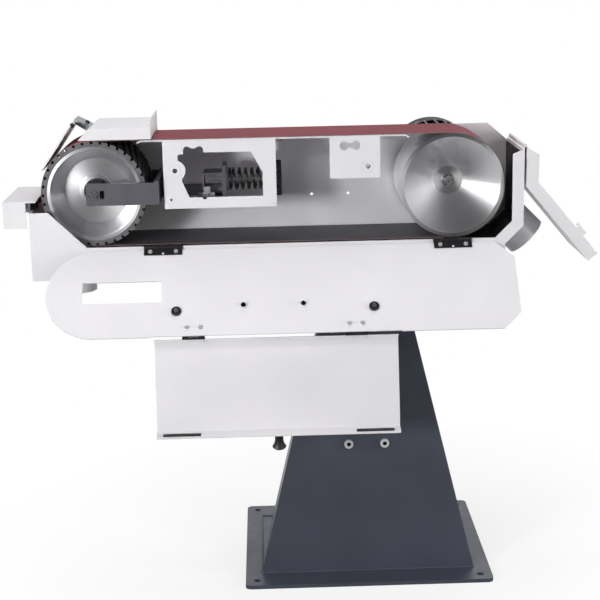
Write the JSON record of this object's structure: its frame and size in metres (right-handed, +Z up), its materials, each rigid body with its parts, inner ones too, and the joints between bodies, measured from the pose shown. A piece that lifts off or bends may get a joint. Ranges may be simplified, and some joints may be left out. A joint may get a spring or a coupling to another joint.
{
  "type": "two-wheel belt grinder",
  "caption": "Floor-standing belt grinder with a serrated contact wheel, sprung tension fork, platen, direct-drive motor and hinged covers shown open on a tapered pedestal",
  "frame": {"origin": "centre of the base plate's underside, on the floor", "axes": "X along the belt with the drive wheel at +X, the open front faces -Y, Z is up"},
  "size_m": [1.1363, 0.5748, 0.939],
  "materials": {
    "housing_paint": "powder coat, light grey, semi gloss",
    "stub_paint": "powder coat, light grey",
    "stand_paint": "powder coat, anthracite, satin",
    "fork_paint": "grey enamel",
    "black_steel": "black oxide, satin",
    "black_plastic": "moulded, fine grain",
    "zinc_steel": "zinc plated",
    "bright_steel": "ground",
    "bearing_steel": "polished",
    "spring_steel": "oil tempered",
    "bush_brass": "plain",
    "turned_aluminium": "spun, fine turning marks",
    "motor_paint": "black enamel",
    "motor_core": "laminated",
    "motor_fan": "moulded",
    "tyre_rubber": "matt, serrated",
    "belt_cloth": "abrasive grain on cloth",
    "green_button": "gloss",
    "red_button": "gloss"
  },
  "bodies": {
    "frame": {"stand_base_plate": "stand_paint", "stand_column": "stand_paint", "stand_bolts": "zinc_steel", "switch_box": "black_plastic", "back_panel": "housing_paint", "housing_wrap": "housing_paint", "end_liner": "black_steel", "end_suction_stub": "stub_paint", "spark_chute": "housing_paint", "chute_suction_stub": "stub_paint", "top_guard": "housing_paint", "guard_bracket": "zinc_steel", "rest_bracket": "black_steel", "platen": "housing_paint", "platen_fixings": "zinc_steel", "tension_box": "housing_paint", "rod_bushes": "bush_brass", "abrasive_belt": "belt_cloth", "door_frame_leaves": "black_steel", "hood_frame_leaf": "housing_paint", "motor_flange": "motor_paint", "flange_bolts": "zinc_steel", "motor_housing": "motor_paint", "motor_stator": "motor_core", "motor_bearings": "bearing_steel", "fan_cowl": "black_plastic", "terminal_box": "black_plastic"},
    "rotor": {"drive_wheel": "turned_aluminium", "drive_wheel_bolt": "bright_steel", "motor_shaft": "bright_steel", "motor_fan": "motor_fan"},
    "tension": {"tension_fork": "fork_paint", "contact_axle": "bright_steel", "tension_rod": "bright_steel", "tension_carriage": "fork_paint", "spring_seat": "zinc_steel", "tension_spring": "spring_steel", "tracking_plate": "zinc_steel"},
    "contact_wheel": {"contact_wheel_hub": "turned_aluminium", "contact_tyre": "tyre_rubber", "contact_bearings": "bearing_steel"},
    "tension_knob": {"tension_knob": "black_plastic"},
    "tracking_screw": {"tracking_screw": "zinc_steel"},
    "door": {"front_door": "housing_paint", "door_leaves": "black_steel", "door_screws": "zinc_steel", "door_handle": "black_steel", "lock_grommets": "black_plastic"},
    "door_lock_left": {"door_lock_left": "zinc_steel"},
    "door_lock_right": {"door_lock_right": "zinc_steel"},
    "flap": {"cover_flap": "housing_paint", "flap_leaves": "black_steel", "flap_buffers": "black_plastic", "flap_knob": "black_plastic"},
    "hood": {"drive_hood": "housing_paint", "hood_leaf": "housing_paint"},
    "spark_guard": {"spark_guard": "housing_paint"},
    "work_rest": {"work_rest": "housing_paint"},
    "start_button": {"start_button": "green_button"},
    "stop_button": {"stop_button": "red_button"}
  },
  "joints": [
    {"name": "drive_spin", "type": "hinge", "parent": "frame", "child": "rotor", "pos_m": [0.17, -0.075, 0.8], "axis": [0, 1, 0], "continuous": true},
    {"name": "tension_slide", "type": "slide", "parent": "frame", "child": "tension", "axis": [1, 0, 0], "range_m": [0, 0.008], "stiffness_N_per_m": 10000, "springref_m": -0.03, "deforming": ["tension_spring"]},
    {"name": "contact_spin", "type": "hinge", "parent": "tension", "child": "contact_wheel", "pos_m": [-0.51584, -0.075, 0.8], "axis": [0, 1, 0], "continuous": true},
    {"name": "knob_turn", "type": "hinge", "parent": "tension", "child": "tension_knob", "pos_m": [-0.16484, -0.075, 0.8115], "axis": [1, 0, 0], "continuous": true},
    {"name": "tracking_turn", "type": "hinge", "parent": "tension", "child": "tracking_screw", "pos_m": [-0.30534, -0.107, 0.786], "axis": [0, 1, 0], "continuous": true},
    {"name": "door_swing", "type": "hinge", "parent": "frame", "child": "door", "pos_m": [0, -0.173, 0.6975], "axis": [-1, 0, 0], "range_deg": [0, 136]},
    {"name": "flap_swing", "type": "hinge", "parent": "door", "child": "flap", "pos_m": [0, -0.3066, 0.55196], "axis": [-1, 0, 0], "range_deg": [-10, 122.1]},
    {"name": "lock_left_slide", "type": "slide", "parent": "door", "child": "door_lock_left", "axis": [0, -0.7193, 0.6947], "range_m": [0, 0.028]},
    {"name": "lock_right_slide", "type": "slide", "parent": "door", "child": "door_lock_right", "axis": [0, -0.7193, 0.6947], "range_m": [0, 0.028]},
    {"name": "hood_swing", "type": "hinge", "parent": "frame", "child": "hood", "pos_m": [0.307, -0.075, 0.875], "axis": [0, -1, 0], "range_deg": [0, 230.5]},
    {"name": "spark_guard_swing", "type": "hinge", "parent": "frame", "child": "spark_guard", "pos_m": [-0.55384, -0.075, 0.929], "axis": [0, 1, 0], "range_deg": [0, 35]},
    {"name": "rest_slide", "type": "slide", "parent": "frame", "child": "work_rest", "axis": [-1, 0, 0], "range_m": [0, 0.025]},
    {"name": "start_press", "type": "slide", "parent": "frame", "child": "start_button", "axis": [0, 1, 0], "range_m": [0, 0.003], "stiffness_N_per_m": 400, "springref_m": -0.002},
    {"name": "stop_press", "type": "slide", "parent": "frame", "child": "stop_button", "axis": [0, 1, 0], "range_m": [0, 0.003], "stiffness_N_per_m": 400, "springref_m": -0.002}
  ],
  "couplings": [
    {"joint": "contact_spin", "follows": "drive_spin", "ratio": 1}
  ]
}
